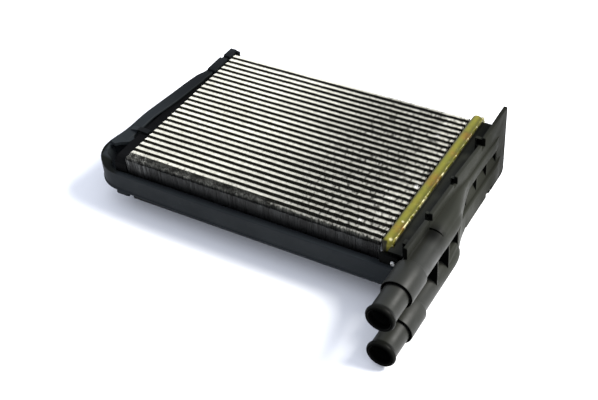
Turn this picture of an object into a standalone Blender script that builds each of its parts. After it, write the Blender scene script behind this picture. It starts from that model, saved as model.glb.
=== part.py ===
"""Heater core: round-tube and fin block with a supply tank that carries both
hose stubs, a shallow return tank at the other end and a moulded carrier frame.

Working axes while modelling, in millimetres: X runs along the tubes from the
return end to the supply tank, Y across the core (the hose stubs point to -Y),
Z up, with Z = 0 on the top face of the fins.  ORIGIN moves the finished model
so that it stands on Z = 0, centred on its bounding box.
"""
import math

import bmesh
import bpy
from mathutils import Vector

MM = 0.001
CLEAR = 0.3               # gap drawn between pieces that touch

# ---------------------------------------------------------------- fin block
CORE_L = 215.6            # length of the fin block along the tubes
HALF_W = 78.5             # half the width across the tubes
CORE_T = 42.0             # depth, the way the air goes
CORE_EDGE = 2.0           # rounding of the long top and bottom edges

# -------------------------------------------------------------------- tubes
TUBE_R = 4.0
TUBE_WALL = 0.5
TUBE_COLS = 13
TUBE_PITCH = 12.08
TUBE_ROWS_Z = (-10.5, -31.5)
TUBE_SEGS = 10
MID_Z = -21.0             # mid-plane of the core and of the tank divider

# ------------------------------------------------------ header plates, seals
HEAD_T = 1.3              # sheet thickness
SEAL_T = 1.8
SUP_X = 216.2             # inner face of the supply header plate
RIM_Y0, RIM_Y1 = -78.5, 81.9   # outer ends of its rim
RIM_Z0, RIM_Z1 = -44.8, 2.9
RIM_R = 4.6               # corner radius of the rim
RIM_X1 = 225.6            # where the folded rim ends
LIP_IN = 2.4              # how far the fold reaches over the foot
SEAL_X = SUP_X + HEAD_T + CLEAR
FOOT_X0 = SEAL_X + SEAL_T + CLEAR
FOOT_X1 = 223.9           # outer face of the tank foot under the fold
RET_X = -0.7              # inner face of the return header plate
RET_SEAL_X = RET_X - HEAD_T - CLEAR - SEAL_T
TUBE_X0 = RET_SEAL_X + 0.1
TUBE_X1 = SEAL_X + SEAL_T - 0.1

# -------------------------------------------------------------- supply tank
NECK = 4.2                # how far the neck is set in from the rim
BODY_X0, BODY_X1 = 226.1, 240.6
BODY_Y0, BODY_Y1 = -78.2, 80.2
BODY_Z0, BODY_Z1 = -42.4, 0.2
PLATE_X0, PLATE_X1 = 239.9, 242.7
PLATE_Y0, PLATE_Y1 = -91.7, 81.5
PLATE_Z0 = -46.6
# stretches of the outer plate's top edge between notches: y0, y1, height at y0 and y1
PLATE_TOP = ((-91.7, -58.4, 16.3, 14.3), (-52.4, -16.8, 15.0, 13.7),
             (-11.0, 32.6, 16.3, 13.3), (39.0, 81.5, 15.3, 16.8))
NOTCH_DEPTH = (6.0, 6.0, 7.0)
# cuts in the lower edge: y0, y1, up to z in the plate, up to z and in to x in the duct
LOWER_CUTS = ((40.0, 52.0, -42.8, -37.5, 243.1), (-1.0, 4.0, -44.9, -39.6, 244.1))
# hollow bosses behind the plate, open to the near end: x0 and y0, y1, z1, then the pocket x0, x1, z0, z1
BOSSES = ((234.4, 39.0, 41.8, 13.6, 234.9, 239.6, 6.7, 13.1), (237.2, -11.0, -8.4, 13.9, 237.7, 239.6, 8.5, 13.4),
          (237.0, -52.4, -49.8, 13.9, 237.5, 239.6, 9.0, 13.4), (235.4, -83.8, -79.2, 11.9, 235.9, 239.2, 0.7, 11.4))
LEDGE = (224.4, -83.8, -1.5, 0.15)       # shelf at the near end over the screw: x0, y0, z0, z1
RIB_PITCH = 18.7
RIB_Y = tuple(63.6 - RIB_PITCH * i for i in range(8))
RIB_X = (242.6, 242.6, 242.6, 242.75, 247.2, 252.7, 254.05, 254.05)
RIB_T = 1.8
VALLEY_X = 238.5          # floor of the recess between the two ducts
VALLEY_Z0, VALLEY_Z1 = -24.0, -9.0
VALLEY_Y1 = 64.3          # its far end

PIPE_X = 245.6            # both pipes lie one above the other along Y
PIPE_Z = (-4.3, -37.7)
PIPE_R = (10.1, 9.4)
COLLAR_R = 11.65
COLLAR_Y0, COLLAR_Y1 = -91.2, -114.0
STUB_R = 9.5
STUB_END = -139.0
BEAD_R = 10.7
BORE_R = 7.7
GROOVE_R, GROOVE_D = 11.1, 4.0   # open ring between collar and stub

# upper duct, one section per row: y, top z, outer x, lower edge z, shoulder radius
UPPER = ((66.0, -1.3, 242.95, -11.3, 0.25), (57.0, -0.8, 243.9, -10.6, 0.9),
         (40.0, 0.6, 244.1, -8.6, 1.1), (13.0, 0.9, 244.3, -8.0, 1.3),
         (3.0, 2.2, 245.0, -9.6, 2.0), (-11.2, 5.0, 248.1, -12.6, 4.2),
         (-30.0, 7.0, 253.4, -10.6, 7.0), (-48.6, 7.2, 254.2, -11.0, 8.0),
         (-57.0, 6.9, 254.0, -11.0, 8.0))
# lower duct: y, top z, outer x, bottom z, shoulder radius
LOWER = ((72.0, -24.2, 242.95, -41.4, 0.25), (60.0, -24.2, 244.9, -41.8, 1.1), (40.0, -24.2, 245.1, -41.9, 1.2),
         (5.0, -24.2, 245.3, -42.0, 1.2), (-8.0, -24.3, 246.5, -41.9, 1.4),
         (-20.0, -24.5, 249.6, -41.6, 1.8), (-29.9, -24.8, 252.5, -41.2, 2.2),
         (-48.6, -27.6, 253.3, -41.6, 5.0))
CHAMBER_Y = 72.4          # half length of the two chambers
CHAMBER_X1 = 236.0
CHAMBER_Z = ((MID_Z + 1.4, -5.2), (-37.6, MID_Z - 1.4))

# -------------------------------------------------------------- return tank
RET_Y, RET_Z0, RET_Z1 = 77.6, -37.0, -5.0
SKIRT_Y, SKIRT_Z0, SKIRT_Z1 = 79.0, -39.5, -3.8
RET_TANK_X = -11.0        # outer face
LUG_Y = (-60.0, 60.0)

# ------------------------------------------------------------ carrier frame
WALL_T = 2.2
SKIRT_LOW = -31.5
# outer edge of the frame seen from above: x, y, height of its rim, rim width
FRAME = ((231.0, -85.0, -14.5, 5.7), (180.0, -85.1, -14.5, 5.8), (120.0, -85.2, -14.5, 5.9),
         (60.0, -85.0, -14.5, 5.7), (20.0, -84.2, -14.5, 4.8), (-2.0, -83.7, -14.5, 4.2),
         (-10.5, -83.2, -14.4, 3.7), (-18.0, -81.8, -14.1, 5.0), (-25.2, -78.0, -13.2, 8.0),
         (-30.9, -72.0, -11.6, 5.6), (-32.6, -66.0, -9.6, 4.6), (-31.8, -60.0, -8.0, 4.6),
         (-28.8, -52.0, -6.4, 10.8), (-25.6, -40.0, -4.8, 10.6), (-22.4, -22.0, -2.0, 9.8),
         (-18.8, 4.0, -1.5, 10.8), (-15.9, 24.0, -0.9, 10.5), (-13.2, 38.0, -0.4, 9.7),
         (-9.7, 46.5, -0.1, 7.0), (-8.4, 60.0, 0.0, 5.4), (-7.6, 74.0, 0.0, 5.2), (-7.2, 82.0, 0.0, 4.8))
CORNER = (6, 12)          # rows between which the edge is smoothed
RIM_T = 1.6
SKIRT_LAST = 22           # the skirt wall ends at this row of the smoothed edge
# two raised clips on the far end of the arm: x0, x1, y0, y1, z0, z1
CLIPS = ((-8.3, -0.7, 47.2, 66.6, -1.2, 1.7), (-7.0, -0.7, 70.0, 81.9, -3.2, 1.9))
# flat web in the rounded corner, and the tongue of the rim beside it, seen from above
WEB = ((-30.4, -67.2), (-29.0, -71.2), (-24.2, -76.9), (-17.5, -80.4), (-11.9, -81.6), (-11.9, -73.0),
       (-17.0, -67.2))
WEB_Z = (-21.5, -19.5)
TONGUE = ((-29.6, -60.0), (-24.0, -61.5), (-20.5, -58.2), (-14.8, -55.0), (-13.2, -50.5), (-19.8, -42.0),
          (-25.0, -42.0), (-28.2, -51.0))
TONGUE_Z = (-9.0, -6.3)
INNER_WALL = (-29.2, -27.8, -67.6, -57.6, -25.0, -9.9)   # under the corner's rim: x0, x1, y0, y1, z0, z1
TAB = (216.8, 230.8, -81.9, -79.5, -15.6, -6.2)
FOOT = (-9.5, 0.8, -82.3)  # locating foot: x0, x1, y
SCREW_X, SCREW_Z = 227.8, -10.9

GROUND = PIPE_Z[1] - COLLAR_R          # lowest point of the lower collar
ORIGIN = (111.9475, -28.5, GROUND)


# ------------------------------------------------------------------ helpers
def clear_scene():
    for ob in list(bpy.data.objects):
        bpy.data.objects.remove(ob, do_unlink=True)


def material(name, colour, rough, metal=0.0):
    mat = bpy.data.materials.new(name)
    mat.use_nodes = True
    bsdf = mat.node_tree.nodes["Principled BSDF"]
    bsdf.inputs["Base Color"].default_value = (*colour, 1.0)
    bsdf.inputs["Roughness"].default_value = rough
    bsdf.inputs["Metallic"].default_value = metal
    return mat


def new_object(name, bm):
    bmesh.ops.recalc_face_normals(bm, faces=bm.faces)
    mesh = bpy.data.meshes.new(name)
    bm.to_mesh(mesh)
    bm.free()
    ob = bpy.data.objects.new(name, mesh)
    bpy.context.scene.collection.objects.link(ob)
    return ob


def loft(name, rings, closed=False):
    """Closed solid through rings that all have the same number of points."""
    bm = bmesh.new()
    rows = [[bm.verts.new(Vector(p) * MM) for p in ring] for ring in rings]
    n = len(rows[0])
    for a, b in zip(rows, rows[1:] + (rows[:1] if closed else [])):
        for i in range(n):
            j = (i + 1) % n
            bm.faces.new((a[i], a[j], b[j], b[i]))
    if not closed:
        bm.faces.new(rows[0][::-1])
        bm.faces.new(rows[-1])
    return new_object(name, bm)


def rounded_rect(u0, u1, v0, v1, r, n=4):
    pts = []
    for cu, cv, a0 in ((u1 - r, v1 - r, 0), (u0 + r, v1 - r, 90),
                       (u0 + r, v0 + r, 180), (u1 - r, v0 + r, 270)):
        for k in range(n + 1):
            a = math.radians(a0 + 90 * k / n)
            pts.append((cu + r * math.cos(a), cv + r * math.sin(a)))
    return pts


def slab_x(name, x0, x1, outline):
    """Prism along X from an outline in y and z."""
    return loft(name, [[(x, y, z) for y, z in outline] for x in (x0, x1)])


def box(name, x0, x1, y0, y1, z0, z1):
    return slab_x(name, x0, x1, [(y0, z0), (y1, z0), (y1, z1), (y0, z1)])


def circle(cu, cv, r, segs):
    return [(cu + r * math.cos(2 * math.pi * (k + 0.5) / segs),
             cv + r * math.sin(2 * math.pi * (k + 0.5) / segs)) for k in range(segs)]


def rod_x(name, cy, cz, r, x0, x1, segs):
    return slab_x(name, x0, x1, circle(cy, cz, r, segs))


def turned_y(name, x, z, profile, segs=32):
    """Solid of revolution about an axis along Y from pairs of y and radius."""
    return loft(name, [[(u, y, v) for u, v in circle(x, z, r, segs)] for y, r in profile])


def combine(target, tools, operation):
    """Apply one boolean after another and remove the tools."""
    for tool in tools:
        mod = target.modifiers.new("cut", "BOOLEAN")
        mod.operation = operation
        mod.solver = "EXACT"
        mod.object = tool
        bpy.context.view_layer.update()
        depsgraph = bpy.context.evaluated_depsgraph_get()
        mesh = bpy.data.meshes.new_from_object(target.evaluated_get(depsgraph))
        target.modifiers.clear()
        old = target.data
        target.data = mesh
        bpy.data.meshes.remove(old)
        bpy.data.objects.remove(tool, do_unlink=True)
    return target


def finish(ob, mat, angle=30.0):
    mesh = ob.data
    bm = bmesh.new()
    bm.from_mesh(mesh)
    bmesh.ops.remove_doubles(bm, verts=bm.verts, dist=0.00002)
    bmesh.ops.dissolve_degenerate(bm, edges=bm.edges, dist=0.00001)
    bm.to_mesh(mesh)
    bm.free()
    mesh.materials.clear()
    mesh.materials.append(mat)
    mesh.shade_smooth()
    mesh.set_sharp_from_angle(angle=math.radians(angle))
    return ob


def tube_centres():
    y0 = -TUBE_PITCH * (TUBE_COLS - 1) / 2
    return [(y0 + TUBE_PITCH * i, z) for z in TUBE_ROWS_Z for i in range(TUBE_COLS)]


def tube_holes(x0, x1):
    """Twenty-six separate rods in one cutting tool."""
    bm = bmesh.new()
    for c in tube_centres():
        ob = rod_x("hole", c[0], c[1], TUBE_R + CLEAR, x0, x1, TUBE_SEGS)
        bm.from_mesh(ob.data)
        bpy.data.objects.remove(ob, do_unlink=True)
    return new_object("holes", bm)


# ------------------------------------------------------------------- pieces
def make_fins(mat):
    ob = slab_x("fin_pack", 0.0, CORE_L, rounded_rect(-HALF_W, HALF_W, -CORE_T, 0.0, CORE_EDGE, 2))
    combine(ob, [tube_holes(-1.0, CORE_L + 1.0)], "DIFFERENCE")
    finish(ob, mat)


def make_tubes(mat):
    for i, (y, z) in enumerate(tube_centres()):
        row = "upper" if i < TUBE_COLS else "lower"
        rings = [[(x, u, v) for u, v in circle(y, z, r, TUBE_SEGS)]
                 for x, r in ((TUBE_X0, TUBE_R), (TUBE_X1, TUBE_R),
                              (TUBE_X1, TUBE_R - TUBE_WALL), (TUBE_X0, TUBE_R - TUBE_WALL))]
        ob = loft("core_tube_%s_%02d" % (row, i % TUBE_COLS + 1), rings, closed=True)
        finish(ob, mat, 50.0)


def rim_outline(inset):
    """The supply header's rim in y and z, set in by a distance."""
    return rounded_rect(RIM_Y0 + inset, RIM_Y1 - inset, RIM_Z0 + inset, RIM_Z1 - inset,
                        RIM_R - inset)


def make_supply_header(mat):
    """Sheet with a rim folded inwards over the tank foot."""
    t = HEAD_T
    ob = slab_x("supply_header_plate", SUP_X, RIM_X1, rim_outline(0.0))
    pocket = slab_x("pocket", SUP_X + t, RIM_X1 - t, rim_outline(t))
    mouth = slab_x("mouth", RIM_X1 - t - 0.4, RIM_X1 + 1.0, rim_outline(t + LIP_IN))
    combine(ob, [pocket, mouth, tube_holes(SUP_X - 1.0, SUP_X + t + 1.0)], "DIFFERENCE")
    finish(ob, mat)


def foot_outline():
    return rim_outline(HEAD_T + 0.4)


def make_supply_seal(mat):
    ob = slab_x("supply_tank_seal", SEAL_X, SEAL_X + SEAL_T, foot_outline())
    combine(ob, [tube_holes(SEAL_X - 1.0, SEAL_X + SEAL_T + 1.0)], "DIFFERENCE")
    finish(ob, mat)


def plate_outline():
    """Outer plate in y and z, with its sloping top edge and three notches."""
    pts = [(PLATE_Y0, PLATE_Z0 + 4.0), (PLATE_Y0 + 4.0, PLATE_Z0), (PLATE_Y1 - 5.0, PLATE_Z0),
           (PLATE_Y1 - 1.5, PLATE_Z0 + 1.5), (PLATE_Y1, PLATE_Z0 + 5.0)]
    for k in range(len(PLATE_TOP) - 1, -1, -1):
        y0, y1, z0, z1 = PLATE_TOP[k]
        if k == len(PLATE_TOP) - 1:
            pts += [(y1, z1 - 2.0), (y1 - 0.6, z1 - 0.6), (y1 - 2.0, z1 - 0.05)]
        else:
            pts += [(y1, z1)]
        pts += [(y0, z0)]
        if k:
            floor = z0 - NOTCH_DEPTH[k - 1]
            pts += [(y0, floor), (PLATE_TOP[k - 1][1], floor)]
    return pts


def duct_section(y, top, outer, low, r, n=4):
    """Duct outline in x and z with one rounded outer shoulder."""
    x_in = PLATE_X0 + 0.6
    pts = [(x_in, y, low - 0.5), (x_in, y, top)]
    for k in range(n + 1):
        a = math.radians(90 - 90 * k / n)
        pts.append((outer - r + r * math.cos(a), y, top - r + r * math.sin(a)))
    pts.append((outer, y, low + 0.5))
    pts.append((outer - 0.9, y, low - 0.5))
    return pts


def pipe_profile(r):
    return ((-23.0, r - 3.5), (-31.0, r), (COLLAR_Y0, r), (COLLAR_Y0 - 0.1, COLLAR_R - 0.7),
            (COLLAR_Y0 - 0.9, COLLAR_R), (COLLAR_Y1 + 0.8, COLLAR_R), (COLLAR_Y1, COLLAR_R - 0.4),
            (COLLAR_Y1 - 0.05, GROOVE_R), (COLLAR_Y1 + GROOVE_D, GROOVE_R - 0.1),
            (COLLAR_Y1 + GROOVE_D + 0.1, STUB_R), (STUB_END + 5.0, STUB_R),
            (STUB_END + 3.6, BEAD_R - 0.15), (STUB_END + 2.6, BEAD_R), (STUB_END + 1.4, BEAD_R - 0.2),
            (STUB_END + 0.4, BEAD_R - 1.0), (STUB_END, BEAD_R - 1.8))


def make_supply_tank(mat):
    """One moulding: foot, box, outer plate, two ducts, ribs and both stubs."""
    ob = slab_x("supply_tank", FOOT_X0, FOOT_X1, foot_outline())
    neck = slab_x("neck", FOOT_X1 - 0.6, BODY_X0 + 0.6, rim_outline(NECK))
    body = slab_x("body", BODY_X0, BODY_X1, rounded_rect(BODY_Y0, BODY_Y1, BODY_Z0, BODY_Z1, 6.0))
    plate = slab_x("plate", PLATE_X0, PLATE_X1, plate_outline())
    combine(ob, [neck, body, plate], "UNION")
    # recess between the ducts: deep under the upper one, sloping out to the lower one
    x1 = PLATE_X1 + 1.0
    combine(ob, [loft("valley", [
        [(VALLEY_X, y, VALLEY_Z1), (x1, y, VALLEY_Z1), (x1, y, VALLEY_Z0), (x1 - 0.8, y, VALLEY_Z0),
         (VALLEY_X, y, VALLEY_Z0 + 8.5)] for y in (RIB_Y[5], VALLEY_Y1)])], "DIFFERENCE")

    adds = [loft("upper", [duct_section(*row) for row in UPPER]),
            loft("lower", [duct_section(*row) for row in LOWER])]
    adds += [turned_y("pipe", PIPE_X, z, pipe_profile(r)) for z, r in zip(PIPE_Z, PIPE_R)]
    lx, ly, lz0, lz1 = LEDGE
    adds.append(box("ledge_root", BODY_X0 + 0.4, PLATE_X0 + 0.3, -79.4, -71.0, lz0, lz1 - 0.05))
    adds.append(box("ledge", lx, PLATE_X0 + 0.3, ly, -78.85, lz0, lz1))
    adds += [box("boss", x0, PLATE_X0 + 0.3, y0, y1, -0.3, z1) for x0, y0, y1, z1, _a, _b, _c, _d in BOSSES]
    for i, (y, x) in enumerate(zip(RIB_Y, RIB_X)):
        y0, y1 = y - RIB_T / 2, y + RIB_T / 2
        if i <= 4:
            adds.append(box("rib", VALLEY_X - 0.5, x, y0, y1, VALLEY_Z0 - 0.7, -11.9))
        elif i == 5:
            adds.append(box("rib", VALLEY_X - 0.5, x, y0, y1, -41.05, -10.8))
        else:
            adds.append(box("rib", PLATE_X1 - 0.5, x, y0, y1, -36.5, -10.7))
    combine(ob, adds, "UNION")

    cuts = [box("chamber", FOOT_X0 - 1.0, CHAMBER_X1, -CHAMBER_Y, CHAMBER_Y, z0, z1)
            for z0, z1 in CHAMBER_Z]
    # passage from the upper chamber through the plate, then the duct behind the shoulder
    cuts.append(box("passage", CHAMBER_X1 - 1.0, 242.0, -54.0, 58.0, -7.1, -5.2))
    cuts.append(loft("upper_duct", [
        [(241.3, y, lo), (241.3, y, hi), (x, y, hi), (x, y, lo)]
        for y, x, lo, hi in ((4.0, 242.4, -7.0, -1.0), (-11.2, 245.2, -9.8, 1.6),
                             (-30.0, 250.2, -8.8, 2.8), (-54.0, 250.4, -9.0, 2.2))]))
    cuts.append(loft("lower_duct", [
        [(CHAMBER_X1 - 0.5, y, lo), (CHAMBER_X1 - 0.5, y, hi), (x, y, hi), (x, y, lo)]
        for y, x, lo, hi in ((62.0, 241.0, -37.4, -27.0), (5.0, 242.8, -37.4, -27.0),
                             (-8.0, 243.8, -37.4, -27.2), (-29.9, 249.4, -37.8, -28.4),
                             (-47.5, 249.9, -38.2, -31.2))]))
    for z, y_in in zip(PIPE_Z, (-46.3, -44.2)):
        cuts.append(turned_y("bore", PIPE_X, z, ((y_in, BORE_R), (STUB_END + 0.9, BORE_R),
                                                 (STUB_END - 1.0, BORE_R + 0.9)), 24))
    for y0, y1, plate_z, duct_z, duct_x in LOWER_CUTS:
        cuts.append(box("edge_cut", PLATE_X0 - 1.0, PLATE_X1 + 4.0, y0, y1, PLATE_Z0 - 1.0, plate_z))
        cuts.append(box("edge_cut", duct_x, PLATE_X1 + 5.0, y0 + 0.05, y1 - 0.05, PLATE_Z0 - 1.5, duct_z))
    cuts += [box("pocket", a, b, y0 - 1.0, y0 + 4.5, c, d) for _x, y0, _y, _z, a, b, c, d in BOSSES]
    cuts.append(turned_y("pilot", SCREW_X, SCREW_Z, ((BODY_Y0 - 1.0, 1.25), (BODY_Y0 + 5.0, 1.25)), 10))
    combine(ob, cuts, "DIFFERENCE")
    finish(ob, mat)


def make_return_sheet(name, x0, x1, mat):
    ob = slab_x(name, x0, x1, rounded_rect(-RET_Y, RET_Y, RET_Z0, RET_Z1, 5.0))
    combine(ob, [tube_holes(x0 - 1.0, x1 + 1.0)], "DIFFERENCE")
    finish(ob, mat)


def make_return_tank(mat):
    """Shallow moulding whose skirt snaps over the return header plate."""
    ob = slab_x("return_tank", RET_TANK_X, -CLEAR - 0.1,
                rounded_rect(-SKIRT_Y, SKIRT_Y, SKIRT_Z0, SKIRT_Z1, 6.5))
    g = 0.4
    rim = slab_x("rim", RET_SEAL_X - CLEAR, 1.0,
                 rounded_rect(-RET_Y - g, RET_Y + g, RET_Z0 - g, RET_Z1 + g, 5.0 + g))
    g = 1.8
    hollow = slab_x("hollow", RET_TANK_X + 2.0, -2.0,
                    rounded_rect(-RET_Y + g, RET_Y - g, RET_Z0 + g, RET_Z1 - g, 3.0))
    combine(ob, [rim, hollow], "DIFFERENCE")
    combine(ob, [box("lug", -10.2, -4.2, y - 6.0, y + 6.0, GROUND, SKIRT_Z0 + 1.0) for y in LUG_Y],
            "UNION")
    finish(ob, mat)


def smoothed_edge():
    """FRAME with one point added between rows round the corner."""
    out = []
    for i in range(len(FRAME)):
        out.append(FRAME[i])
        if CORNER[0] <= i < CORNER[1]:
            a, b, c, d = FRAME[i - 1], FRAME[i], FRAME[i + 1], FRAME[i + 2]
            out.append(tuple((9.0 * (b[k] + c[k]) - a[k] - d[k]) / 16.0 for k in range(4)))
    return out


def make_frame(mat):
    """Rim strip along the front, round the corner and over the return tank,
    with a skirt wall below it for as long as the strip runs clear of the tank."""
    edge = smoothed_edge()
    last = len(edge) - 1
    bm = bmesh.new()
    rows = []
    for i, (x, y, z, w) in enumerate(edge):
        a, b = edge[max(i - 1, 0)], edge[min(i + 1, last)]
        d = Vector((b[0] - a[0], b[1] - a[1])).normalized()
        nx, ny = d.y, -d.x                     # points to the inside of the frame
        rim = ((0.7, z), (0.0, z - 0.7), (0.0, z - RIM_T), (WALL_T, z - RIM_T),
               (w, z - RIM_T), (w, z - 0.5), (w - 0.5, z))
        skirt = ((0.0, SKIRT_LOW + 1.6), (-0.7, SKIRT_LOW + 1.2), (-0.7, SKIRT_LOW),
                 (WALL_T, SKIRT_LOW))

        def verts(points):
            return [bm.verts.new(Vector((x + nx * o, y + ny * o, v)) * MM) for o, v in points]
        rows.append((verts(rim), verts(skirt) if i <= SKIRT_LAST else None))

    def section(rim, skirt):
        return rim if skirt is None else rim[:3] + skirt + rim[3:]

    for i in range(last):
        (rim_a, skirt_a), (rim_b, skirt_b) = rows[i], rows[i + 1]
        if i == SKIRT_LAST:
            bm.faces.new([rim_a[2]] + skirt_a + [rim_a[3]])
        with_skirt = i < SKIRT_LAST
        pa = section(rim_a, skirt_a if with_skirt else None)
        pb = section(rim_b, skirt_b if with_skirt else None)
        for k in range(len(pa)):
            j = (k + 1) % len(pa)
            bm.faces.new((pa[k], pa[j], pb[j], pb[k]))
    bm.faces.new(section(*rows[0])[::-1])
    bm.faces.new(rows[last][0])
    ob = new_object("carrier_frame", bm)

    x0, x1, fy = FOOT
    foot = rod_x("foot", fy, SKIRT_LOW - 0.7, 2.8, x0, x1, 12)
    tab = box("tab", *TAB)
    wall = box("wall", *INNER_WALL)
    hook = box("hook", -6.9, 2.5, 79.4, 81.8, -6.5, 0.9)
    clips = [box("clip", *c) for c in CLIPS]
    web = loft("web", [[(x, y, z) for x, y in WEB] for z in WEB_Z])
    tongue = loft("tongue", [[(x, y, z) for x, y in TONGUE] for z in TONGUE_Z])
    strap = loft("strap", [[(x, y0, z0), (x, y1, z0), (x, y1, z1), (x, y0, z1)] for x, y0, y1, z0, z1 in
                           ((-21.5, -43.0, -38.6, -6.2, -4.2), (-12.6, -43.6, -39.0, -3.8, -2.2),
                            (-4.0, -44.2, -39.6, -3.8, -2.2))])
    combine(ob, [foot, tab, wall, hook, web, tongue, strap] + clips, "UNION")
    combine(ob, [turned_y("hole", SCREW_X, SCREW_Z, ((-84.0, 1.35), (-78.0, 1.35)), 10)], "DIFFERENCE")
    finish(ob, mat)


def make_screw(mat):
    """Pan-head tapping screw through the frame tab into the tank end."""
    ob = turned_y("frame_screw", SCREW_X, SCREW_Z,
                  ((BODY_Y0 + 4.2, 0.5), (BODY_Y0 + 3.0, 0.95), (-82.2, 0.95),
                   (-82.25, 2.3), (-83.1, 2.3), (-83.9, 1.8), (-84.2, 1.0)), 14)
    finish(ob, mat)


def main():
    clear_scene()
    alu = material("fin_aluminium", (0.72, 0.71, 0.66), 0.42, 0.85)
    tube = material("tube_aluminium", (0.78, 0.78, 0.77), 0.32, 0.9)
    gold = material("passivated_header", (0.42, 0.37, 0.10), 0.38, 0.75)
    rubber = material("seal_rubber", (0.012, 0.012, 0.012), 0.75)
    plastic = material("tank_plastic", (0.045, 0.046, 0.045), 0.45)
    dark = material("frame_plastic", (0.022, 0.025, 0.026), 0.5)
    zinc = material("screw_zinc", (0.75, 0.75, 0.74), 0.3, 1.0)

    make_fins(alu)
    make_tubes(tube)
    make_supply_header(gold)
    make_supply_seal(rubber)
    make_supply_tank(plastic)
    make_return_sheet("return_header_plate", RET_X - HEAD_T, RET_X, tube)
    make_return_sheet("return_tank_seal", RET_SEAL_X, RET_SEAL_X + SEAL_T, rubber)
    make_return_tank(plastic)
    make_frame(dark)
    make_screw(zinc)

    shift = Vector(ORIGIN) * MM
    for ob in bpy.data.objects:
        ob.location = ob.location - shift


main()
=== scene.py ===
"""Looks of the heater core: thin corrugated fins, passivated header rim, moulded tank,
carrier frame and screw, on a white table under soft studio light.

Shapes are written in millimetres in the part's working axes: X along the tubes, Y across
the core, Z up from the fin face. G() turns them into the row frame in metres.
"""
import math
import random

import bmesh
import bpy
from mathutils import Matrix, Vector, noise


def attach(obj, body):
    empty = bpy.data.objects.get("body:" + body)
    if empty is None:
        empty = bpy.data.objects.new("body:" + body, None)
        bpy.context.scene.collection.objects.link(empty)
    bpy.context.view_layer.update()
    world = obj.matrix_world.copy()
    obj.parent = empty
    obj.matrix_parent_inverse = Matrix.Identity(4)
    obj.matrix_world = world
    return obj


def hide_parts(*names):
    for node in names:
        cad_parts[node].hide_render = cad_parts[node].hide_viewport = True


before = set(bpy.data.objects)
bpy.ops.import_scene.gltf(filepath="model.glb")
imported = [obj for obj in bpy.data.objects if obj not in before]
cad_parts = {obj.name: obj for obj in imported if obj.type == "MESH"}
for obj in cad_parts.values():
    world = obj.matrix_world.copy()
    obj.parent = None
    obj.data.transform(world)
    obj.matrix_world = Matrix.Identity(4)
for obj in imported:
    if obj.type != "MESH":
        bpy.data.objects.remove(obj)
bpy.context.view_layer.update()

ORIGIN = (111.9475, -28.5, -49.35)
PITCH = 6.04              # one light and one dark facet of a fin
PHASE = 2.7               # middle of a light facet
PIPE_X, PIPE_Z, PIPE_R = 245.6, (-4.3, -37.7), (10.1, 9.4)


def G(x, y, z):
    return Vector(((x - ORIGIN[0]) / 1000.0, (y - ORIGIN[1]) / 1000.0, (z - ORIGIN[2]) / 1000.0))


# ------------------------------------------------------------------ meshes
class Builder:
    """Collects closed bodies in working millimetres into one mesh."""

    def __init__(self):
        self.bm = bmesh.new()

    def loft(self, rings, closed=False, cap=True):
        rows = [[self.bm.verts.new(G(*p)) for p in ring] for ring in rings]
        n = len(rows[0])
        faces = []
        for a, b in zip(rows, rows[1:] + (rows[:1] if closed else [])):
            for i in range(n):
                j = (i + 1) % n
                faces.append(self.bm.faces.new((a[i], a[j], b[j], b[i])))
        if cap and not closed:
            faces.append(self.bm.faces.new(rows[0][::-1]))
            faces.append(self.bm.faces.new(rows[-1]))
        return faces

    def done(self, name, mat, sharp=35.0, recalc=True):
        if recalc:
            bmesh.ops.recalc_face_normals(self.bm, faces=self.bm.faces)
        mesh = bpy.data.meshes.new(name)
        self.bm.to_mesh(mesh)
        self.bm.free()
        ob = bpy.data.objects.new(name, mesh)
        bpy.context.scene.collection.objects.link(ob)
        mesh.materials.append(mat)
        mesh.shade_smooth()
        mesh.set_sharp_from_angle(angle=math.radians(sharp))
        return ob


def rounded_rect(u0, u1, v0, v1, r, n=6):
    pts = []
    for cu, cv, a0 in ((u1 - r, v1 - r, 0), (u0 + r, v1 - r, 90),
                       (u0 + r, v0 + r, 180), (u1 - r, v0 + r, 270)):
        for k in range(n + 1):
            a = math.radians(a0 + 90 * k / n)
            pts.append((cu + r * math.cos(a), cv + r * math.sin(a)))
    return pts


def inset_loop(pts, d):
    """Moves each point of a convex-ish outline inwards by d."""
    n = len(pts)
    area = sum(pts[i][0] * pts[(i + 1) % n][1] - pts[(i + 1) % n][0] * pts[i][1] for i in range(n))
    sgn = 1.0 if area > 0 else -1.0
    out = []
    for i in range(n):
        a, b, c = Vector(pts[i - 1]), Vector(pts[i]), Vector(pts[(i + 1) % n])
        e0, e1 = (b - a), (c - b)
        if e0.length < 1e-9 or e1.length < 1e-9:
            out.append(tuple(b))
            continue
        e0.normalize(); e1.normalize()
        n0, n1 = Vector((-e0.y, e0.x)) * sgn, Vector((-e1.y, e1.x)) * sgn
        m = n0 + n1
        m = m / max(m.length_squared, 0.3) * 2.0
        out.append((b.x + m.x * d, b.y + m.y * d))
    return out


def slab(b, x0, x1, outline, bevel=0.0):
    """Prism along X with softened edges at both ends."""
    if bevel <= 0.0:
        b.loft([[(x, y, z) for y, z in outline] for x in (x0, x1)])
        return
    rings = []
    for x, d in ((x0, bevel), (x0 + bevel * 0.3, bevel * 0.3), (x0 + bevel, 0.0),
                 (x1 - bevel, 0.0), (x1 - bevel * 0.3, bevel * 0.3), (x1, bevel)):
        rings.append([(x, y, z) for y, z in inset_loop(outline, d)])
    b.loft(rings)


def block(b, x0, x1, y0, y1, z0, z1, bevel=0.25):
    slab(b, x0, x1, rounded_rect(y0, y1, z0, z1, min(bevel, (y1 - y0) / 2.2, (z1 - z0) / 2.2), 2), bevel)


def turned(b, x, z, profile, segs=64):
    b.loft([[(x + r * math.cos(2 * math.pi * k / segs), y, z + r * math.sin(2 * math.pi * k / segs))
             for k in range(segs)] for y, r in profile])


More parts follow.
